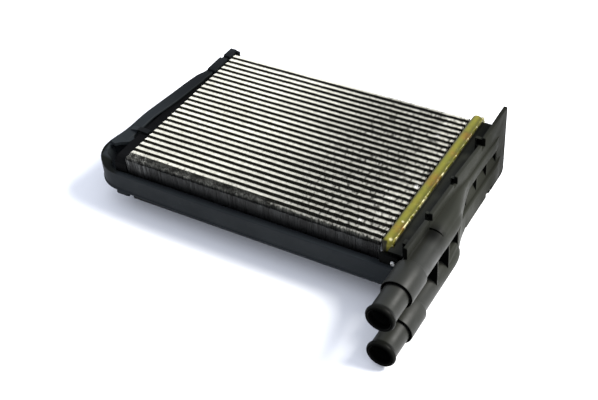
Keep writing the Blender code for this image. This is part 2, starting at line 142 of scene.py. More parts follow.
def smooth_rows(rows, steps):
    """Catmull-Rom through rows of numbers."""
    out = []
    n = len(rows)
    for i in range(n - 1):
        p0, p1, p2, p3 = rows[max(i - 1, 0)], rows[i], rows[i + 1], rows[min(i + 2, n - 1)]
        for s in range(steps):
            t = s / steps
            out.append(tuple(
                0.5 * ((2 * b) + (c - a) * t + (2 * a - 5 * b + 4 * c - d) * t * t
                       + (3 * b - a - 3 * c + d) * t ** 3)
                for a, b, c, d in zip(p0, p1, p2, p3)))
    out.append(tuple(rows[-1]))
    return out


# --------------------------------------------------------------- materials
class Mat:
    def __init__(self, name, base, rough, metal=0.0, spec=0.5):
        self.m = bpy.data.materials.new(name)
        self.m.use_nodes = True
        self.nt = self.m.node_tree
        self.b = self.nt.nodes["Principled BSDF"]
        self.b.inputs["Base Color"].default_value = (*base, 1)
        self.b.inputs["Roughness"].default_value = rough
        self.b.inputs["Metallic"].default_value = metal
        self.b.inputs["Specular IOR Level"].default_value = spec
        self.co = self.new("ShaderNodeTexCoord").outputs["Object"]

    def new(self, kind, **props):
        n = self.nt.nodes.new(kind)
        for k, v in props.items():
            setattr(n, k, v)
        return n

    def link(self, a, b):
        self.nt.links.new(a, b)

    def plug(self, sock, v):
        if hasattr(v, "default_value") or hasattr(v, "is_output"):
            self.link(v, sock)
        else:
            sock.default_value = v

    def comb(self, a, b):
        v = self.math("MULTIPLY", a, b)
        c = self.new("ShaderNodeCombineColor")
        for i in range(3):
            self.link(v, c.inputs[i])
        return c.outputs[0]

    def math(self, op, a, b=0.0, c=None, clamp=False):
        n = self.new("ShaderNodeMath", operation=op, use_clamp=clamp)
        self.plug(n.inputs[0], a)
        self.plug(n.inputs[1], b)
        if c is not None:
            self.plug(n.inputs[2], c)
        return n.outputs[0]

    def noise(self, scale, detail=3.0, rough=0.55, stretch=None, dist=0.0):
        v = self.co
        if stretch is not None:
            mp = self.new("ShaderNodeMapping")
            mp.inputs["Scale"].default_value = stretch
            self.link(v, mp.inputs["Vector"])
            v = mp.outputs["Vector"]
        n = self.new("ShaderNodeTexNoise")
        n.inputs["Scale"].default_value = scale
        n.inputs["Detail"].default_value = detail
        n.inputs["Roughness"].default_value = rough
        n.inputs["Distortion"].default_value = dist
        self.link(v, n.inputs["Vector"])
        return n.outputs["Fac"]

    def axis(self, i):
        s = self.new("ShaderNodeSeparateXYZ")
        self.link(self.co, s.inputs[0])
        return s.outputs[i]

    def ramp(self, fac, stops, mode="LINEAR"):
        r = self.new("ShaderNodeValToRGB")
        r.color_ramp.interpolation = mode
        els = r.color_ramp.elements
        while len(els) < len(stops):
            els.new(0.5)
        for e, (p, c) in zip(els, stops):
            e.position = p
            e.color = (c, c, c, 1) if isinstance(c, (int, float)) else (*c, 1)
        self.link(fac, r.inputs["Fac"])
        return r.outputs["Color"]

    def remap(self, v, a, b, c, d, smooth=False):
        n = self.new("ShaderNodeMapRange", clamp=True)
        if smooth:
            n.interpolation_type = "SMOOTHSTEP"
        for i, x in enumerate((v, a, b, c, d)):
            self.plug(n.inputs[i], x)
        return n.outputs[0]

    def mix(self, fac, a, b, mode="MIX"):
        n = self.new("ShaderNodeMix", data_type="RGBA", blend_type=mode)
        self.plug(n.inputs["Factor"], fac)
        for key, v in (("A", a), ("B", b)):
            s = [q for q in n.inputs if q.name == key and q.type == "RGBA"][0]
            if isinstance(v, tuple):
                s.default_value = (*v, 1) if len(v) == 3 else v
            else:
                self.link(v, s)
        return [q for q in n.outputs if q.type == "RGBA"][0]

    def bump(self, h, strength, dist, prev=None):
        n = self.new("ShaderNodeBump")
        n.inputs["Strength"].default_value = strength
        n.inputs["Distance"].default_value = dist
        self.link(h, n.inputs["Height"])
        if prev is not None:
            self.link(prev, n.inputs["Normal"])
        return n.outputs["Normal"]

    def along(self, i, a, b, c, d):
        """Smooth step between two places on an axis, given in working millimetres."""
        return self.remap(self.axis(i), (a - ORIGIN[i]) / 1000.0, (b - ORIGIN[i]) / 1000.0, c, d, True)

    def spot(self, x, y, z, reach):
        """1 at a place in working millimetres, falling to 0 at its reach."""
        n = self.new("ShaderNodeVectorMath", operation="DISTANCE")
        self.link(self.co, n.inputs[0])
        n.inputs[1].default_value = G(x, y, z)
        return self.remap(n.outputs["Value"], 0.0, reach / 1000.0, 1.0, 0.0, True)

    def around(self, x, z, r0, r1):
        """1 near an axis that runs along Y, 0 beyond r1."""
        u = self.math("SUBTRACT", self.axis(0), (x - ORIGIN[0]) / 1000.0)
        v = self.math("SUBTRACT", self.axis(2), (z - ORIGIN[2]) / 1000.0)
        d = self.math("SQRT", self.math("ADD", self.math("MULTIPLY", u, u), self.math("MULTIPLY", v, v)))
        return self.remap(d, r0 / 1000.0, r1 / 1000.0, 1.0, 0.0)

    def color(self, c):
        self.link(c, self.b.inputs["Base Color"])

    def rough(self, r):
        self.link(r, self.b.inputs["Roughness"])

    def normal(self, n):
        self.link(n, self.b.inputs["Normal"])


def plastic(name, dark, light, rough=0.46, grain=0.35, spec=0.5, pipes=None, frame_shade_and_marks=False, near=1.0):
    """Moulded glass-filled plastic: mottled black, fine grain, scuffed where it was handled."""
    m = Mat(name, dark, rough, 0.0, spec)
    if pipes is not None:
        # the hose pipes are polished by the mould, the outer plate is matt
        on_pipe = m.math("MAXIMUM", m.around(PIPE_X, PIPE_Z[0], 11.9, 12.6), m.around(PIPE_X, PIPE_Z[1], 11.9, 12.6))
        on_pipe = m.math("MULTIPLY", on_pipe, m.along(1, -78.0, -42.0, 1.0, 0.0))
        on_pipe = m.math("MULTIPLY", on_pipe, m.along(1, -134.8, -132.6, 0.0, 1.0))
        pipe_start_shade = m.math("MULTIPLY", m.spot(247.6, -60.2, 6.0, 13.0), 0.9)
        on_pipe = m.math("MULTIPLY", on_pipe, m.math("SUBTRACT", 1.0, pipe_start_shade))
        level = m.math("MULTIPLY", m.math("MULTIPLY_ADD", on_pipe, pipes - spec, spec), m.along(1, -35.0, 50.0, 1.0, 0.12))
    mott = m.noise(38.0, 5.0, 0.6)
    flow = m.noise(16.0, 3.0, 0.5, (1.0, 0.35, 1.0), 0.6)
    fac = m.math("MULTIPLY_ADD", m.remap(flow, 0.35, 0.68, 0.0, 1.0), 0.6, m.math("MULTIPLY", mott, 0.5), clamp=True)
    col = m.mix(fac, dark, light)
    scuff = m.remap(m.noise(120.0, 6.0, 0.75, (1.0, 0.2, 1.0)), 0.62, 0.74, 0.0, 0.5)
    col = m.mix(scuff, col, tuple(min(1.0, c * 1.5 + 0.004) for c in light))
    if frame_shade_and_marks:
        # painted shade on the top of the rounded corner's rim and of the outer rim just beyond it; the strap darker
        # at its inner end, and the arm darker towards its far end
        low = m.math("MULTIPLY", m.along(0, -12.0, -4.0, 1.0, 0.0), m.along(1, -73.5, -70.0, 1.0, 0.0))
        low = m.math("MAXIMUM", low, m.math("MULTIPLY", m.along(0, -30.2, -29.2, 1.0, 0.0), m.along(1, -62.0, -56.0, 1.0, 0.0)))
        low = m.math("MULTIPLY", low, m.along(2, -16.2, -15.4, 0.0, 1.0))
        col = m.mix(low, col, (0.0035, 0.0042, 0.0032))
        strap = m.math("MULTIPLY", m.along(1, -46.0, -45.2, 0.0, 1.0), m.along(1, -38.2, -37.4, 1.0, 0.0))
        strap = m.math("MULTIPLY", strap, m.along(0, -16.0, -14.0, 0.0, 0.9))
        col = m.mix(strap, col, (0.0016, 0.0018, 0.0016))
        col = m.mix(1.0, col, m.comb(m.along(1, -45.0, 35.0, 1.15, 0.40), 1.0), "MULTIPLY")
    if pipes is not None:
        # painted shade on the beads at the hose ends, which turn from the light; the outer plate also darker towards
        # its far end
        col = m.mix(1.0, col, m.comb(m.along(1, 10.0, 75.0, 1.0, 0.46), m.along(1, -134.6, -132.8, 0.30, 1.0)), "MULTIPLY")
        col = m.mix(1.0, col, m.comb(m.along(1, -75.0, -48.0, 0.70, 1.0), 1.0), "MULTIPLY")
        # painted shade where the upper pipe leaves its duct
        col = m.mix(pipe_start_shade, col, (0.0012, 0.0012, 0.0010))
        # painted shade in the open ring at the collars' ends
        for z in PIPE_Z:
            ring = m.math("MULTIPLY", m.around(PIPE_X, z, 11.2, 11.35),
                          m.math("MULTIPLY", m.along(1, -116.2, -114.4, 0.0, 1.0), m.along(1, -110.0, -109.0, 1.0, 0.0)))
            col = m.mix(m.math("MULTIPLY", ring, 0.92), col, (0.0006, 0.0006, 0.0005))
        # painted shade far inside the bores
        for z in PIPE_Z:
            bore_end_shade = m.math("MULTIPLY", m.around(PIPE_X, z, 7.9, 8.3), m.along(1, -60.0, -50.0, 1.0, 0.0))
            col = m.mix(m.math("MULTIPLY", bore_end_shade, 0.9), col, (0.0008, 0.0008, 0.0007))
    if near < 1.0:
        # painted shade: faces turned to the hose end, away from the light, are drawn darker, and on the tank they
        # lose their sheen as well
        face = m.new("ShaderNodeNewGeometry")
        parts = m.new("ShaderNodeSeparateXYZ")
        m.link(face.outputs["True Normal"], parts.inputs[0])
        turned = m.remap(parts.outputs[1], -0.95, -0.60, 1.0 - near, 0.0, True)
        col = m.mix(turned, col, (0.0007, 0.0008, 0.0007))
        if pipes is not None:
            level = m.math("MULTIPLY", level, m.math("SUBTRACT", 1.0, turned))
    if pipes is not None:
        m.link(level, m.b.inputs["Specular IOR Level"])
    m.color(col)
    m.rough(m.remap(m.noise(60.0, 4.0, 0.6), 0.3, 0.7, rough - 0.08, rough + 0.1))
    n = m.bump(m.noise(2600.0, 2.0, 0.6), grain, 0.00005)
    n = m.bump(m.noise(90.0, 3.0, 0.5), 0.25, 0.0006, n)
    bev = m.new("ShaderNodeBevel", samples=4)
    bev.inputs["Radius"].default_value = 0.0005
    m.link(n, bev.inputs["Normal"])
    m.normal(bev.outputs["Normal"])
    return m.m


def fin_material():
    """Aluminium fin stock with painted light and shade: facets turned to the light are painted pale, the others
    painted dark.
    """
    m = Mat("fin_sheet", (0.7, 0.68, 0.6), 0.5, 0.0, 0.18)
    y = m.axis(1)
    x = m.axis(0)
    z = m.axis(2)
    # the bands are read along the line of the facets, which lean over with depth
    lean = m.math("MULTIPLY", m.math("SUBTRACT", z, (0.0 - ORIGIN[2]) / 1000.0), 0.9)
    wob = m.math("MULTIPLY", m.math("SUBTRACT", m.noise(40.0, 2.0, 0.5, (0.5, 1.0, 0.0)), 0.5), 0.0010)
    far = m.remap(x, 0.03, 0.09, 0.0, 1.0, True)
    tear = m.math("MULTIPLY", m.math("SUBTRACT", m.noise(300.0, 3.0, 0.6, (1.0, 0.6, 0.0)), 0.5),
                  m.math("MULTIPLY_ADD", far, 0.0016, 0.0007))
    yy = m.math("ADD", m.math("ADD", m.math("ADD", y, lean), wob), tear)
    turn = m.math("MULTIPLY", m.math("SUBTRACT", yy, (PHASE - 0.1 - ORIGIN[1]) / 1000.0), 2 * math.pi / (PITCH / 1000.0))
    wave = m.math("COSINE", turn)
    # light facets look narrower towards the supply end
    edge = m.math("ADD", m.remap(x, -0.05, 0.045, 0.0, 0.30, True), m.remap(x, 0.078, 0.092, 0.0, -0.22, True))
    # painted light and shade: the band is 1 on facets painted pale as if turned to the light, 0 on those painted
    # dark
    band = m.remap(m.math("SUBTRACT", wave, edge), -0.10, 0.14, 0.0, 1.0, True)
    torn = m.remap(m.noise(95.0, 4.0, 0.7, (1.0, 1.6, 0.0)), 0.66, 0.71, 0.0, 1.0)
    gap = m.remap(m.noise(560.0, 2.0, 0.5, (1.0, 0.25, 0.0)), 0.54, 0.62, 0.0, 0.80)
    band = m.math("MULTIPLY", band, m.math("SUBTRACT", 1.0, m.math("MULTIPLY", gap, m.remap(x, 0.0, 0.05, 0.0, 1.0, True))))
    band = m.math("MAXIMUM", band, m.math("MULTIPLY", torn, m.math("MULTIPLY", far, m.remap(wave, -0.9, -0.3, 0.0, 0.8))))
    tone = m.noise(420.0, 3.0, 0.7, (1.0, 0.25, 0.2))
    pale = m.mix(m.remap(tone, 0.3, 0.7, 0.0, 1.0), (0.62, 0.61, 0.53), (0.86, 0.85, 0.77))
    dark = m.mix(m.noise(160.0, 4.0, 0.6), (0.0025, 0.0022, 0.0015), (0.013, 0.012, 0.007))
    col = m.mix(band, dark, pale)
    # painted shade: the fins drawn darker towards the supply end and a little lighter again over the last few
    # millimetres before it; blot adds random patches
    supply_end_shade = m.math("ADD", m.remap(x, -0.05, 0.055, 1.0, 0.62, True), m.remap(x, 0.080, 0.092, 0.0, 0.16, True))
    blot = m.remap(m.noise(26.0, 4.0, 0.6, (0.6, 1.4, 0.2)), 0.36, 0.62, 0.84, 1.0)
    col = m.mix(1.0, col, m.comb(supply_end_shade, blot), "MULTIPLY")
    # painted highlights: glints on the light facets towards the supply end, and three round glints off dents
    glint = m.remap(m.noise(330.0, 3.0, 0.7, (0.8, 1.0, 0.3)), 0.62, 0.70, 0.0, 1.0)
    col = m.mix(m.math("MULTIPLY", m.math("MULTIPLY", glint, band), far), col, (0.97, 0.96, 0.93))
    for at, reach in (((212.7, -13.8, -0.4), 2.6), ((193.0, -63.0, -0.4), 1.8), ((201.5, 46.5, -0.4), 2.0)):
        col = m.mix(m.remap(m.spot(*at, reach), 0.15, 0.5, 0.0, 1.0), col, (0.98, 0.97, 0.94))
    ragged = m.math("MULTIPLY_ADD", m.math("SUBTRACT", m.noise(520.0, 3.0, 0.7, (1.0, 0.5, 0.0)), 0.5), 0.010, y)
    # the outermost light facet is crushed away from the supply end, and the fins' front face lies in shade: both are
    # painted dark as painted shade, with streaks of dirt
    ragged = m.math("ADD", ragged, m.along(0, 98.0, 146.0, -0.0042, 0.0))
    front = m.remap(ragged, (-76.2 - ORIGIN[1]) / 1000.0, (-74.2 - ORIGIN[1]) / 1000.0, 0.0, 1.0)
    front = m.math("MINIMUM", front, m.along(1, -78.4, -77.6, 0.0, 1.0))
    streak = m.noise(900.0, 4.0, 0.7, (1.0, 1.0, 0.06))
    clump = m.noise(150.0, 3.0, 0.6, (1.0, 1.0, 0.10))
    mark = m.math("MULTIPLY", m.remap(streak, 0.42, 0.64, 0.0, 1.0), m.remap(clump, 0.38, 0.60, 0.10, 1.0))
    bent = m.mix(m.along(0, 6.0, 24.0, 1.0, 0.0), (0.050, 0.052, 0.050), (0.36, 0.36, 0.34))
    bent = m.mix(m.along(1, -78.2, -77.4, 0.0, 0.6), bent, (0.20, 0.20, 0.18))
    front_dirt_and_shade = m.mix(mark, (0.007, 0.007, 0.006), bent)
    col = m.mix(front, front_dirt_and_shade, col)
    # the far long side: plain sheet edges with the same dirt
    rear = m.along(1, 77.0, 78.2, 0.0, 1.0)
    col = m.mix(rear, col, m.mix(mark, (0.05, 0.05, 0.047), (0.34, 0.34, 0.32)))
    # painted shade: darker further down between the fins and down their front face, less so on the far long side
    depth_shade = m.math("MAXIMUM", m.along(2, -13.0, -1.5, 0.05, 1.0), m.math("MULTIPLY", rear, 0.8))
    col = m.mix(1.0, col, m.comb(depth_shade, 1.0), "MULTIPLY")
    m.color(col)
    m.rough(m.remap(m.noise(300.0, 3.0, 0.6), 0.3, 0.7, 0.38, 0.62))
    m.normal(m.bump(m.noise(1500.0, 2.0, 0.5, (1.0, 0.2, 1.0)), 0.25, 0.0001))
    return m.m


def gold_material():
    """Yellow passivated sheet with amber patches and bright crimped edges, partly wear and partly painted highlight;
    light and shade are painted across the rim.
    """
    m = Mat("passivated_sheet", (0.27, 0.24, 0.05), 0.36, 0.5, 0.25)
    big = m.noise(34.0, 4.0, 0.6, (0.7, 1.0, 1.0))
    col = m.ramp(big, [(0.34, (0.172, 0.174, 0.022)), (0.50, (0.208, 0.192, 0.024)),
                       (0.60, (0.218, 0.182, 0.022)), (0.74, (0.26, 0.148, 0.015))])
    # amber stains
    for at, reach in (((223.3, -6.0, 2.5), 13.0), ((223.6, -61.5, 2.5), 9.0), ((223.4, 52.0, 2.5), 8.0),
                      ((222.4, 28.0, 2.5), 5.0)):
        stain = m.math("MULTIPLY", m.spot(*at, reach), m.remap(m.noise(190.0, 3.0, 0.6), 0.36, 0.60, 0.25, 0.90))
        col = m.mix(stain, col, (0.27, 0.130, 0.020))
    # painted light and shade across the rolled rim: dark on the fold beside the fins, lightest along the crest,
    # darker over the flat beyond and at the crimp
    rim_light_and_shade = m.math("MULTIPLY", m.along(0, 219.8, 223.4, 0.86, 0.56), m.along(0, 224.2, 225.0, 1.0, 0.80))
    fold_shade = m.along(0, 217.1, 219.2, 0.34, 1.0)
    col = m.mix(1.0, col, m.comb(rim_light_and_shade, fold_shade), "MULTIPLY")
    fine = m.noise(420.0, 5.0, 0.7)
    # bright spots along the crimped edge: partly wear to bare metal, partly painted highlight
    crimp_wear_and_glint = m.along(0, 224.3, 225.0, 0.0, 1.0)
    spots = m.remap(m.noise(240.0, 3.0, 0.6, (0.3, 1.0, 1.0)), 0.53, 0.62, 0.0, 0.62)
    col = m.mix(m.math("MULTIPLY", crimp_wear_and_glint, spots), col, (0.62, 0.57, 0.34))
    col = m.mix(m.remap(fine, 0.60, 0.74, 0.0, 0.5), col, (0.40, 0.37, 0.16))
    dirt = m.remap(m.noise(150.0, 5.0, 0.7), 0.54, 0.70, 0.0, 0.5)
    col = m.mix(dirt, col, (0.060, 0.045, 0.012))
    # painted highlights: two glints on the rim towards its near end
    for at, reach in (((222.4, -74.6, 2.5), 2.2), ((221.8, -55.1, 2.5), 1.6)):
        col = m.mix(m.remap(m.spot(*at, reach), 0.1, 0.8, 0.0, 0.7), col, (0.62, 0.58, 0.34))
    # painted shade on the near end of the rim, beside the fins and low down
    end = m.along(1, -77.2, -75.6, 1.0, 0.0)
    near_end_shade = m.math("MULTIPLY", end, m.math("MAXIMUM", m.along(0, 220.2, 221.6, 1.0, 0.0), m.along(2, -7.0, -4.0, 1.0, 0.0)))
    col = m.mix(m.math("MULTIPLY", near_end_shade, 0.95), col, (0.008, 0.007, 0.005))
    m.color(col)
    m.rough(m.remap(m.noise(110.0, 4.0, 0.6), 0.3, 0.7, 0.32, 0.55))
    n = m.bump(m.noise(700.0, 3.0, 0.6), 0.3, 0.0001)
    m.normal(m.bump(m.noise(120.0, 2.0, 0.5), 0.35, 0.0005, n))
    return m.m


def metal_material(name, base, rough):
    m = Mat(name, base, rough, 0.9, 0.5)
    streak = m.noise(500.0, 3.0, 0.6, (0.05, 1.0, 1.0))
    m.color(m.mix(streak, tuple(c * 0.7 for c in base), base))
    m.rough(m.remap(streak, 0.3, 0.7, rough - 0.08, rough + 0.12))
    m.normal(m.bump(streak, 0.2, 0.0001))
    return m.m


def rubber_material():
    m = Mat("seal_rubber_look", (0.012, 0.012, 0.012), 0.8, 0.0, 0.3)
    n = m.noise(700.0, 3.0, 0.6)
    m.color(m.mix(n, (0.008, 0.008, 0.008), (0.022, 0.021, 0.02)))
    m.normal(m.bump(n, 0.4, 0.0001))
    return m.m


MAT_FIN = fin_material()
MAT_GOLD = gold_material()
MAT_TANK = plastic("tank_moulding", (0.0125, 0.0130, 0.0100), (0.0215, 0.0223, 0.0176), 0.44, 0.3, 0.035, 0.17,
                   near=0.06)
MAT_FRAME = plastic("frame_moulding", (0.0095, 0.0112, 0.0122), (0.0155, 0.0182, 0.0196), 0.48, 0.25, 0.05,
                    frame_shade_and_marks=True, near=0.85)
# a much darker copy of the frame's plastic: painted shade on the tab, which sits in shadow under the tank's ledge
MAT_TAB_SHADE = plastic("frame_tab_shaded_moulding", (0.0016, 0.0018, 0.0016), (0.0040, 0.0042, 0.0038), 0.7, 0.3, 0.02)
# a near-black copy of the plastic: painted shade on the return tank, which sits in the dark gap beside the fins
MAT_RETURN_SHADE = plastic("return_shaded_moulding", (0.0006, 0.0006, 0.0007), (0.0018, 0.0018, 0.0018), 0.7, 0.3, 0.05)
MAT_TUBE = metal_material("drawn_tube", (0.75, 0.75, 0.74), 0.34)
MAT_SHEET = metal_material("return_sheet", (0.35, 0.35, 0.34), 0.45)
MAT_ZINC = metal_material("bright_zinc", (0.42, 0.42, 0.40), 0.30)
MAT_RUBBER = rubber_material()


def keep(node, mat):
    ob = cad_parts[node]
    ob.data.materials.clear()
    ob.data.materials.append(mat)


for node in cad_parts:
    if node.startswith("core_tube"):
        keep(node, MAT_TUBE)
keep("supply_tank_seal", MAT_RUBBER)
keep("return_tank_seal", MAT_RUBBER)
keep("return_header_plate", MAT_SHEET)
keep("return_tank", MAT_RETURN_SHADE)


# -------------------------------------------------------------------- fins
FIN_N = 154
FIN_STEP = 215.0 / FIN_N
WAVE_A = 0.50             # half height of a fin's zigzag
FIN_T = 0.14
HALF = 78.5
# dents: x, y, reach, push
DENTS = ((196.0, 60.0, 3.5, 0.9), (203.0, 66.0, 3.0, -0.8), (199.0, 48.0, 2.5, 0.8), (14.0, -70.0, 5.0, 0.7),
         (188.0, -30.0, 3.0, 0.8), (196.0, -42.0, 3.0, -0.9), (178.0, -52.0, 2.5, 0.7), (10.0, -76.0, 5.0, -0.8),
         (205.0, -66.0, 4.0, 0.9), (150.0, -70.0, 2.5, 0.6), (60.0, -74.0, 4.0, -0.5), (120.0, 20.0, 2.0, 0.5),
         (209.0, -20.0, 3.0, 0.7), (90.0, -73.0, 3.0, 0.6), (30.0, 40.0, 2.0, 0.4), (209.0, 20.0, 2.5, -0.7))


def zigzag(y):
    """Sideways position of a fin at y: rises over a light facet, falls over a dark one."""
    t = ((y - PHASE) / PITCH + 0.25) % 1.0
    return WAVE_A * ((4 * t - 1) if t < 0.5 else (3 - 4 * t))


def build_fins():
    rnd = random.Random(7)
    b = Builder()
    ys = [-HALF]
    k0 = math.ceil((-HALF - PHASE + PITCH / 4) / (PITCH / 2))
    y = PHASE - PITCH / 4 + k0 * PITCH / 2
    while y < HALF:
        if y > -HALF + 0.3 and y < HALF - 0.3:
            ys.append(y)
        y += PITCH / 2
    ys.append(HALF)
    levels = (0.0, -2.6, -39.5, -42.0)
    for i in range(FIN_N):
        xc = (i + 0.5) * FIN_STEP
        lean = rnd.uniform(-0.10, 0.10)
        drop = rnd.uniform(0.0, 0.25)
        rows = []
        for yy in ys:
            edge = HALF - abs(yy)
            cut = 0.0
            if edge < 2.2:
                cut = 2.2 - math.sqrt(max(0.0, 2.2 ** 2 - (2.2 - edge) ** 2))
            dx = 0.0
            for ax, ay, reach, push in DENTS:
                d2 = ((xc - ax) ** 2 + ((yy - ay) * 0.8) ** 2) / (reach * reach)
                if d2 < 9.0:
                    dx += push * math.exp(-d2)
            jit = 0.07 * noise.noise(Vector((xc * 0.9, yy * 0.35, 3.1)))
            ring = []
            for j, z in enumerate(levels):
                zz = z - drop * (j == 0) - cut * (j == 0)
                if j == 3:
                    zz = z + cut
                if j == 1:
                    zz = z - cut * 0.3
                x = xc + zigzag(yy) + jit + (lean + dx if j == 0 else lean * 0.2)
                ring.append((min(max(x, 0.35), 215.2), yy, zz))
            rows.append(ring)
        front = [b.bm.verts.new(G(p[0] - FIN_T / 2, p[1], p[2])) for ring in rows for p in ring]
        back = [b.bm.verts.new(G(p[0] + FIN_T / 2, p[1], p[2])) for ring in rows for p in ring]
        n, m = len(rows), len(levels)
        for a in range(n - 1):
            for c in range(m - 1):
                q = (a * m + c, (a + 1) * m + c, (a + 1) * m + c + 1, a * m + c + 1)
                b.bm.faces.new([front[s] for s in q])
                b.bm.faces.new([back[s] for s in reversed(q)])
            q = (a * m, (a + 1) * m)
            b.bm.faces.new((front[q[1]], front[q[0]], back[q[0]], back[q[1]]))
            q = (a * m + m - 1, (a + 1) * m + m - 1)
            b.bm.faces.new((front[q[0]], front[q[1]], back[q[1]], back[q[0]]))
        for a in (0, n - 1):
            for c in range(m - 1):
                f = [front[a * m + c], front[a * m + c + 1], back[a * m + c + 1], back[a * m + c]]
                b.bm.faces.new(f if a == 0 else f[::-1])
        # folded lug that keeps the next fin at its distance, at both long sides
        for side in (-1, 1):
            y0 = side * (HALF - 0.02)
            y1 = y0 - side * FIN_T
            x0 = xc + zigzag(y0) + 0.07
            wide = FIN_STEP * rnd.uniform(0.62, 0.86)
            top = -2.3 - rnd.uniform(0.0, 0.7)
            kx = rnd.uniform(-0.12, 0.12)
            x1 = min(x0 + wide, 215.45)
            ring = [(x0, y0), (x1, y0), (x1, y1), (x0, y1)]
            b.loft([[(p[0] + (kx if z > -20 and p[0] < 215.0 else 0.0), p[1], z) for p in ring]
                    for z in (top, -14.0, -28.0, -39.7)])
    return b.done("fin_sheets", MAT_FIN, 20.0, recalc=False)


def sheet_holes():
    bm = bmesh.new()
    y0 = -12.08 * 6
    for z in (-10.5, -31.5):
        for i in range(13):
            c = (y0 + 12.08 * i, z)
            rows = [[bm.verts.new(G(x, c[0] + 4.25 * math.cos(2 * math.pi * k / 24),
                                    c[1] + 4.25 * math.sin(2 * math.pi * k / 24))) for k in range(24)]
                    for x in (214.0, 219.0)]
            for k in range(24):
                j = (k + 1) % 24
                bm.faces.new((rows[0][k], rows[0][j], rows[1][j], rows[1][k]))
            bm.faces.new(rows[0][::-1])
            bm.faces.new(rows[1])
    bmesh.ops.recalc_face_normals(bm, faces=bm.faces)
    mesh = bpy.data.meshes.new("holes")
    bm.to_mesh(mesh)
    bm.free()
    ob = bpy.data.objects.new("holes", mesh)
    bpy.context.scene.collection.objects.link(ob)
    return ob


def cut_with(ob, *tools, operation="DIFFERENCE"):
    """Exact booleans, one tool after the other; the tools are removed."""
    for tool in tools:
        mod = ob.modifiers.new("cut", "BOOLEAN")
        mod.operation = operation
        mod.solver = "EXACT"
        mod.object = tool
        bpy.context.view_layer.update()
        dg = bpy.context.evaluated_depsgraph_get()
        mesh = bpy.data.meshes.new_from_object(ob.evaluated_get(dg))
        ob.modifiers.clear()
        ob.data = mesh
        bpy.data.objects.remove(tool, do_unlink=True)


def dress(ob, mat, sharp):
    ob.data.materials.clear()
    ob.data.materials.append(mat)
    for f in ob.data.polygons:
        f.material_index = 0
    ob.data.shade_smooth()
    ob.data.set_sharp_from_angle(angle=math.radians(sharp))
    return ob


def one(name, mat, fill, *args, **kw):
    """One closed body in an object of its own."""
    b = Builder()
    fill(b, *args, **kw)
    return b.done(name, mat)


RIM = (-78.5, 81.9, -44.8, 2.9)
RIM_R = 4.6


def dense_outline(y0, y1, z0, z1, r, step):
    """Rounded rectangle sampled every few tenths, with its outward direction."""
    pts = []
    corners = ((y1 - r, z1 - r, 0), (y0 + r, z1 - r, 90), (y0 + r, z0 + r, 180), (y1 - r, z0 + r, 270))
    for i, (cy, cz, a0) in enumerate(corners):
        for k in range(9):
            a = math.radians(a0 + 90 * k / 8)
            pts.append((cy + r * math.cos(a), cz + r * math.sin(a), math.cos(a), math.sin(a)))
        ny, nz, na = corners[(i + 1) % 4]
        a = math.radians(a0 + 90)
        sy, sz = cy + r * math.cos(a), cz + r * math.sin(a)
        a2 = math.radians(na)
        ey, ez = ny + r * math.cos(a2), nz + r * math.sin(a2)
        length = math.hypot(ey - sy, ez - sz)
        m = max(1, int(length / step))
        for k in range(1, m):
            t = k / m
            pts.append((sy + (ey - sy) * t, sz + (ez - sz) * t, math.cos(a), math.sin(a)))
    return pts


def build_header():
    """Rolled rim of the header plate, pressed over the tank foot bite by bite."""
    b = Builder()
    loop = dense_outline(RIM[0], RIM[1], RIM[2], RIM[3], RIM_R, 0.8)
    run = 0.0
    rings = []
    prev = None
    for (y, z, ny, nz) in loop:
        if prev is not None:
            run += math.hypot(y - prev[0], z - prev[1])
        prev = (y, z)
        bite = 0.5 + 0.5 * math.cos(2 * math.pi * run / 12.1)
        bite = bite ** 3
        wav = 0.18 * noise.noise(Vector((y * 0.12, z * 0.12, 1.7)))
        prof = ((216.3, 4.3), (216.3, 3.2), (216.55, 1.9), (217.2, 0.9), (218.2, 0.25), (219.6, 0.0),
                (221.4, 0.25), (222.6, 0.62 + 0.2 * bite), (223.4, 0.6 + 0.1 * bite), (224.3, 0.25),
                (225.0, 0.35 + 0.25 * bite), (225.5, 1.0 + 0.6 * bite), (225.45, 2.2 + 0.5 * bite),
                (225.0, 3.3 + 0.5 * bite), (224.35, 3.2), (224.3, 1.6 + 0.4 * bite), (222.5, 1.75),
                (219.0, 1.45), (217.75, 2.6), (217.6, 4.3))
        rings.append([(x - (0.12 * bite if x > 224 else 0), y - ny * (d + max(wav, 0)), z - nz * (d + max(wav, 0)))
                      for x, d in prof])
    b.loft(rings, closed=True)
    rim = b.done("header_rim", MAT_GOLD, 50.0)
    s = Builder()
    # the sheet itself reaches under the rim and carries the tube holes
    slab(s, 216.35, 217.5, rounded_rect(RIM[0] + 3.6, RIM[1] - 3.6, RIM[2] + 3.6, RIM[3] - 3.6, 3.4))
    sheet = s.done("header_sheet", MAT_GOLD, 40.0)
    cut_with(sheet, sheet_holes())
    sheet.data.materials.clear()
    sheet.data.materials.append(MAT_GOLD)
    return rim, sheet


